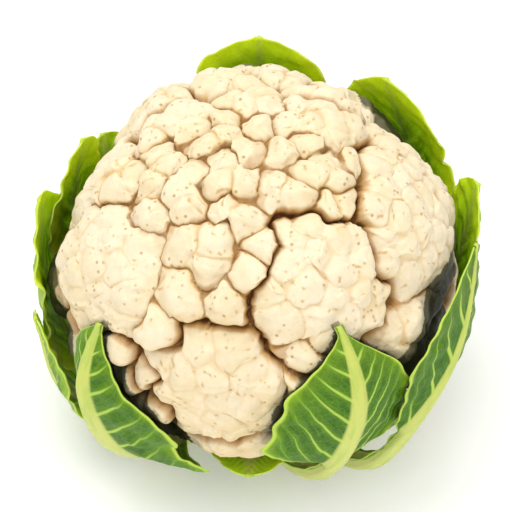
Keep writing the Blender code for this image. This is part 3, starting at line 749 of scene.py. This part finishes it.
def makeLeaf(name, row, finish, seed):
    ns, nt = leaf["stations"], leaf["columns"]
    q = np.repeat(np.linspace(-1, 1, nt + 1)[None], ns + 1, axis=0)
    grid = np.repeat(np.linspace(0, 1, ns + 1)[:, None], nt + 1, axis=1)
    half = bladeHalf(row, grid, q)
    ribHalf = leaf["ribHalfTip"] + (leaf["ribHalfBase"] - leaf["ribHalfTip"]) * (1 - grid) ** leaf["ribTaper"]
    rib = np.minimum(ribHalf / half, leaf["ribWidest"])
    inner = leaf["ribColumns"]  # the share of columns that lie within the midrib, so that it is round
    beyondRib = rib + (1 - rib) * (np.abs(q) - inner) / (1 - inner)
    t = np.where(np.abs(q) < inner, q / inner * rib, np.sign(q) * beyondRib)
    sheet, length = leafSheet(row, grid, t, seed)
    normal = unitOf(np.cross(np.gradient(sheet, axis=1), np.gradient(sheet, axis=0)))
    middle = (ns // 2, nt // 2)
    if normal[middle][:2] @ sheet[middle][:2] < 0:
        normal = -normal

    lateral = np.abs(t) * half  # metres from the midrib
    along = grid * length
    phase, veinScale = layVeins(row, t, lateral, along, length, seed)
    blade = eased((grid - 0.16) / 0.12)
    offVein = np.abs(phase - np.round(phase)) * veinScale
    veinWide = (1.25 - 0.75 * np.abs(t)) * mm
    vein = np.clip(1 - offVein / veinWide, 0, 1) * blade * (1 - 0.5 * np.abs(t))
    ribThick = (leaf["ribThickBase"] - leaf["ribThickTip"]) * (1 - grid) ** leaf["ribThinning"]
    ribThick = leaf["ribThickTip"] + ribThick
    onRib = np.clip(1 - (t / rib) ** 2, 0, 1)
    thick = leaf["bladeThick"] * (1 - 0.45 * np.abs(t) ** 4) + ribThick * onRib**0.75
    thick = thick + leaf["veinRise"] * vein**0.6 * (1 - onRib)
    crinkles = wander(sheet.reshape(-1, 3), leaf["crinklePitch"], seed + 3).reshape(grid.shape)
    shift = leaf["crinkle"] * crinkles * eased((np.abs(t) - rib) / 0.3) * blade
    inside = sheet + normal * (shift + leaf["veinRiseInside"] * vein)[..., None]
    outside = sheet + normal * (shift + thick)[..., None]
    mesh = closeSheet(name, inside, outside)

    # what the finish reads, the same on both faces
    marks = {
        "veinPhase": phase, "onBlade": blade, "fromRib": np.abs(t), "alongLeaf": grid,
        "ribShare": np.clip(1.6 - np.abs(t / rib), 0, 1), "veinScale": np.full(grid.shape, veinScale / mm),
    }
    for key, values in marks.items():
        pointValues(mesh, key, np.tile(values.ravel(), 2))
    pointValues(mesh, "outerFace", np.repeat([0.0, 1.0], grid.size))
    own = np.full(grid.shape, seed * 0.37)
    for key, parts in (("leafPlace", (t * half, along, own)), ("streakPlace", (phase, lateral * 40, own))):
        layer = mesh.attributes.new(key, "FLOAT_VECTOR", "POINT")
        places = np.tile(np.stack(parts, axis=-1).reshape(-1, 3), (2, 1))
        layer.data.foreach_set("vector", places.astype(np.float32).ravel())
    return addPiece(name + "_visual", mesh, name, finish)


def atShade(pair, shade):
    return tuple(dark + more * shade for dark, more in zip(*pair))


def leafFinish(name, shade):
    # shade 0 is a dark bloomed outer leaf, 1 a young one with a broad bright margin; the lighter inner face
    # is partly painted light where the leaf lies in shade, and below 0 the leaf is painted darker, as shade
    glow, colours = max(shade, 0.0), leaf["colours"]
    finish, tree, shader = newFinish(
        name, 0.46, Subsurface_Weight=0.10 + 0.55 * glow, Subsurface_Scale=0.002 + 0.003 * glow,
        Subsurface_Radius=(0.9, 1.0, 0.15), Specular_IOR_Level=0.15)
    deep, middle, deepOut, middleOut, rimInside = (
        atShade(leaf["shaded"][key], shade) for key in ("deep", "middle", "deepOut", "middleOut", "rim"))
    where, streaks = readPlace(tree, "leafPlace"), readPlace(tree, "streakPlace")
    fromRib, along = readValue(tree, "fromRib"), readValue(tree, "alongLeaf")
    outer, onBlade = readValue(tree, "outerFace"), readValue(tree, "onBlade")
    mottled = remap(tree, noiseAt(tree, 70, 4, where), 0.35, 0.7)
    streaked = remap(tree, noiseAt(tree, 5.5, 3, streaks), 0.38, 0.66)
    # lighter beside the side veins, deep between them
    beside = mathStep(tree, "PINGPONG", readValue(tree, "veinPhase"), 0.5)
    offVein = times(tree, beside, readValue(tree, "veinScale"))
    banded = remap(tree, offVein, 0.6, 2.6, 1.0, 0.0)
    light = plus(tree, times(tree, mottled, 0.25), times(tree, streaked, 0.50))
    light = plus(tree, light, times(tree, banded, 0.45), clamp=True)
    # a young leaf is lighter towards its tip and edges, partly painted light where it lies in shade
    young = remap(tree, plus(tree, along, times(tree, fromRib, 0.25)), 0.62, 1.12)
    light = blendColour(tree, 0.75 * shade, light, times(tree, plus(tree, light, young), 0.6))
    colour = blendColour(tree, light, deep, middle)
    # the outer face is darker than the inner one, which is lighter as a young leaf's is and with painted
    # light where the leaf lies in shade
    colour = blendColour(tree, outer, colour, blendColour(tree, light, deepOut, middleOut))
    # greyish bloom on the outer face
    bloom = times(tree, remap(tree, noiseAt(tree, 45, 3, where), 0.3, 0.7, 0.02, 0.20), outer)
    colour = blendColour(tree, times(tree, bloom, 1.0 - 0.6 * shade), colour, colours["bloom"])
    # bright margins and tips: paler young tissue, and in part painted light that stands for light shining
    # through the leaf
    edge = plus(tree, fromRib, times(tree, noiseAt(tree, 60, 2, where), 0.3))
    rim = remap(tree, edge, 0.98 - 0.50 * shade, 1.20 - 0.25 * shade)
    towardsTip = plus(tree, along, times(tree, fromRib, 0.15))
    tip = remap(tree, towardsTip, 0.80 - 0.04 * shade, 1.10 - 0.12 * shade)
    bright = mathStep(tree, "MAXIMUM", rim, times(tree, tip, 0.45 + 0.55 * shade))
    strength = remap(tree, outer, 0.0, 1.0, 0.50 + 0.40 * shade, 0.50 + 0.05 * shade)
    rimColour = blendColour(tree, outer, rimInside, colours["rimOut"])
    colour = blendColour(tree, times(tree, bright, strength), colour, rimColour)
    # a fine net of veins, then side veins, a hem along the edge, and the rib with its strings
    net = remap(tree, cellsAt(tree, 400, "DISTANCE_TO_EDGE", where), 0.0, 0.08, 0.22, 0.0)
    colour = blendColour(tree, times(tree, net, onBlade), colour, colours["net"])
    wide = mathStep(tree, "SUBTRACT", 0.74, times(tree, fromRib, 0.48))
    vein = remap(tree, mathStep(tree, "DIVIDE", offVein, wide), 0.35, 1.1, 1.0, 0.0)
    fading = remap(tree, fromRib, 0.35, 0.95, 0.80 - 0.45 * shade, 0.12)
    vein = times(tree, times(tree, vein, onBlade), fading)
    colour = blendColour(tree, vein, colour, colours["vein"])
    hem = remap(tree, fromRib, 0.93, 0.985, 0.0, 0.80)
    colour = blendColour(tree, times(tree, hem, onBlade), colour, colours["hem"])
    ribColour = blendColour(tree, remap(tree, along, 0.1, 0.95), colours["ribFoot"], colours["ribTip"])
    stretched = tree.nodes.new("ShaderNodeMapping")
    stretched.inputs["Scale"].default_value = (1.0, 0.12, 1.0)
    tree.links.new(where, stretched.inputs["Vector"])
    strings = remap(tree, noiseAt(tree, 620, 3, stretched.outputs["Vector"]), 0.42, 0.66, 0.0, 0.45)
    ribColour = blendColour(tree, strings, ribColour, colours["string"])
    # inside a young leaf the rib hardly shows
    hidden = times(tree, mathStep(tree, "SUBTRACT", 1.0, outer), 0.75 * shade)
    ribs = remap(tree, readValue(tree, "ribShare"), 0.25, 0.7)
    ribs = times(tree, ribs, mathStep(tree, "SUBTRACT", 1.0, hidden))
    colour = blendColour(tree, ribs, colour, ribColour)
    # painted shade: dark where it lies close over the curd
    gapShade = remap(tree, readValue(tree, "gapShade"), 0.75, 1.0, 0.0, 0.65)
    colour = blendColour(tree, gapShade, colour, colours["gapShade"])
    tree.links.new(colour, shader.inputs["Base Color"])
    relief = plus(tree, noiseAt(tree, 260, 3, where), times(tree, net, -1.5))
    bumpOn(tree, shader, relief, 0.4, 0.0005)
    return finish


def makeLeaves():
    finishes, made = {}, []
    for seed, (name, values) in enumerate(leafRows.items()):
        row = dict(zip(leafFields, values))
        shade = row["shade"]
        if shade not in finishes:
            finishes[shade] = leafFinish("leaf_green_%d" % len(finishes), shade)
        made.append(makeLeaf(name, row, finishes[shade], seed + 1))
    print("leaves made:", len(made))
    return made


# Painted shade: where leaves lie close over the curd, both are painted darker
gaps = {
    "curdReach": 32 * mm, "leafReach": 5 * mm, "tilt": 52.0, "highest": 42.0, "clear": 0.6 * mm,
    # one ray straight out and four tilted ones: sideways, upwards, and what a hit adds
    "rays": ((0, 0, 0.36), (1, 0, 0.16), (-1, 0, 0.16), (0, 1, 0.22), (0, -1, 0.10)),
}


def treeOf(pieces):
    points, faces = [], []
    for piece in pieces:
        first = len(points)
        points += [vert.co.copy() for vert in piece.data.vertices]
        faces += [[first + i for i in face.vertices] for face in piece.data.polygons]
    return BVHTree.FromPolygons(points, faces)


def coveredShare(points, ways, tree, reach):
    # how many of the rays from each point meet the other piece, weighed
    lean, up = math.tan(math.radians(gaps["tilt"])), np.array([0.0, 0.0, 1.0])
    aside = unitOf(np.cross(ways, up) + 1e-9)
    rise = np.cross(aside, ways)
    starts = (points + gaps["clear"] * ways).tolist()
    found = np.zeros(len(points))
    for side, lift, weight in gaps["rays"]:
        rays = unitOf(ways + side * lean * aside + lift * lean * rise)
        for i, (start, ray) in enumerate(zip(starts, rays.tolist())):
            if tree.ray_cast(start, ray, reach)[0] is not None:
                found[i] += weight
    return found


def shadeGaps(head, leaves):
    mesh = head.data
    centre = np.array([0, 0, curd["centreHeight"]])
    points = np.empty(len(mesh.vertices) * 3)
    mesh.vertices.foreach_get("co", points)
    points = points.reshape(-1, 3)
    ways = unitOf(points - centre)
    low = ways[:, 2] < math.sin(math.radians(gaps["highest"]))
    gapShade = np.zeros(len(points))
    gapShade[low] = coveredShare(points[low], ways[low], treeOf(leaves), gaps["curdReach"])
    pointValues(mesh, "gapShade", gapShade)
    tree = treeOf([head])
    for piece in leaves:
        count = len(piece.data.vertices) // 2  # the inner face's points come first
        points = np.array([vert.co for vert in piece.data.vertices[:count]])
        gapShade = coveredShare(points, unitOf(centre - points), tree, gaps["leafReach"])
        pointValues(piece.data, "gapShade", np.concatenate([gapShade, np.zeros(count)]))
    print("gaps shaded")


# The stem
stem = {
    # radius and height in mm, from the middle of the cut face out and up to the middle of the top
    "profile": ((0, 0), (4, 0), (8, 0), (12, 0), (16, 0), (19, 0), (20.3, 0), (21.2, 0.5), (21.7, 1.6),
                (22.3, 4), (22.8, 8), (22.9, 12), (22.9, 16), (22.9, 20), (22.9, 24), (22.9, 28),
                (22.9, 32), (22.0, 34.6), (20.5, 35.7), (0, 35.7)),
    "sides": 96, "dent": 0.35 * mm, "dentsFrom": 1 * mm, "dentsTo": 34 * mm, "dentsBeyond": 20 * mm,
    "bark": (0.60, 0.68, 0.34), "barkPale": (0.74, 0.78, 0.50), "pith": (0.86, 0.86, 0.68),
    "pithDull": (0.78, 0.76, 0.54), "ring": (0.52, 0.60, 0.26), "dried": (0.40, 0.26, 0.11),
}


def stemFinish():
    finish, tree, shader = newFinish("cut_stem", 0.5, Subsurface_Weight=0.15, Subsurface_Scale=0.003)
    where = tree.nodes.new("ShaderNodeTexCoord").outputs["Object"]
    split = tree.nodes.new("ShaderNodeSeparateXYZ")
    tree.links.new(where, split.inputs[0])
    squares = [mathStep(tree, "POWER", split.outputs[axis], 2.0) for axis in "XY"]
    level = mathStep(tree, "SQRT", plus(tree, *squares))  # metres from the stem's axis
    mottled = remap(tree, noiseAt(tree, 60, 4, where), 0.35, 0.65)
    bark = blendColour(tree, mottled, stem["bark"], stem["barkPale"])
    grained = remap(tree, noiseAt(tree, 180, 3, where), 0.3, 0.7)
    pith = blendColour(tree, grained, stem["pith"], stem["pithDull"])
    # the cut face has pale pith, a greener ring and bark outside it
    ring = times(tree, remap(tree, level, 0.0145, 0.0160), remap(tree, level, 0.0172, 0.0186, 1.0, 0.0))
    cut = blendColour(tree, ring, pith, stem["ring"])
    cut = blendColour(tree, remap(tree, level, 0.0188, 0.0205), cut, bark)
    onCut = remap(tree, split.outputs["Z"], 0.0002, 0.0009, 1.0, 0.0)
    colour = blendColour(tree, onCut, bark, cut)
    dried = remap(tree, noiseAt(tree, 95, 4, where), 0.60, 0.75, 0.0, 0.5)
    colour = blendColour(tree, times(tree, dried, onCut), colour, stem["dried"])
    tree.links.new(colour, shader.inputs["Base Color"])
    bumpOn(tree, shader, noiseAt(tree, 420, 3, where), 0.4, 0.0006)
    return finish


def makeStem():
    bm = bmesh.new()
    verts = [bm.verts.new((r * mm, 0, h * mm)) for r, h in stem["profile"]]
    edges = [bm.edges.new(pair) for pair in zip(verts, verts[1:])]
    bmesh.ops.spin(bm, geom=verts + edges, cent=(0, 0, 0), axis=(0, 0, 1), angle=2 * math.pi,
                   steps=stem["sides"], use_merge=True)
    bmesh.ops.remove_doubles(bm, verts=bm.verts, dist=1e-5)
    for vert in bm.verts:
        level = math.hypot(vert.co.x, vert.co.y)
        if stem["dentsFrom"] < vert.co.z < stem["dentsTo"] and level > stem["dentsBeyond"]:
            around = math.atan2(vert.co.y, vert.co.x)
            ripple = math.sin(7 * around + vert.co.z * 300) + math.sin(13 * around + 1.0)
            dent = stem["dent"] * ripple / 2 - stem["dent"]
            vert.co.x *= 1 + dent / level
            vert.co.y *= 1 + dent / level
    bmesh.ops.recalc_face_normals(bm, faces=bm.faces)
    mesh = meshOf("stem_visual", bm)
    smoothAll(mesh)
    mesh.set_sharp_from_angle(angle=math.radians(50))
    addPiece("stem_visual", mesh, "stem", stemFinish())
    print("stem turned")


# Floor, light and camera
studio = {
    "distance": 0.95, "elevation": 40.0, "aim": (0.0, 0.0, 80 * mm), "field": 215 * mm, "sensor": 36,
    "world": 0.79, "floorShade": 0.90, "floorGlow": 0.17, "floorHalf": 6,
    # each light's place and size in metres, power in watts and colour
    "key": ((-0.18, 0.08, 1.05), 0.85, 5.4, (1, 0.985, 0.955)),
    "fill": ((0.15, -0.85, 0.85), 1.3, 4.2, (1, 0.99, 0.97)),
}


def areaLight(name, place, size, power, colour):
    data = bpy.data.lights.new(name, "AREA")
    data.shape, data.size, data.energy, data.color = "DISK", size, power, colour
    lamp = addObject(name, data)
    lamp.location = place
    lamp.rotation_euler = (Vector(place) - Vector(studio["aim"])).to_track_quat("Z", "Y").to_euler()


def makeFloor():
    bm = bmesh.new()
    bmesh.ops.create_grid(bm, x_segments=1, y_segments=1, size=studio["floorHalf"])
    mesh = meshOf("floor", bm)
    floor = addObject("floor", mesh)
    finish, _, shader = newFinish(
        "floor_white", 0.9, Specular_IOR_Level=0.1, Emission_Strength=studio["floorGlow"])
    shader.inputs["Base Color"].default_value = (*[studio["floorShade"]] * 3, 1)
    shader.inputs["Emission Color"].default_value = (1, 1, 1, 1)
    mesh.materials.append(finish)


def makeStudio():
    makeFloor()
    world = bpy.data.worlds.new("soft_room")
    world.use_nodes = True
    sky = world.node_tree.nodes["Background"]
    sky.inputs["Color"].default_value = (1, 1, 1, 1)
    sky.inputs["Strength"].default_value = studio["world"]
    bpy.context.scene.world = world
    for name in ("key", "fill"):
        areaLight(name, *studio[name])
    lens = bpy.data.cameras.new("photo_view")
    camera = addObject("photo_view", lens)
    lens.sensor_width = studio["sensor"]
    lens.lens = studio["sensor"] * studio["distance"] / studio["field"]
    tilt = math.radians(studio["elevation"])
    back = Vector((0, -math.cos(tilt), math.sin(tilt)))
    camera.location = Vector(studio["aim"]) + back * studio["distance"]
    camera.rotation_euler = back.to_track_quat("Z", "Y").to_euler()
    bpy.context.scene.camera = camera
    bpy.context.scene.view_settings.view_transform = "Standard"
    print("studio set")


head = makeCurd()
leaves = makeLeaves()
shadeGaps(head, leaves)
makeStem()
makeStudio()
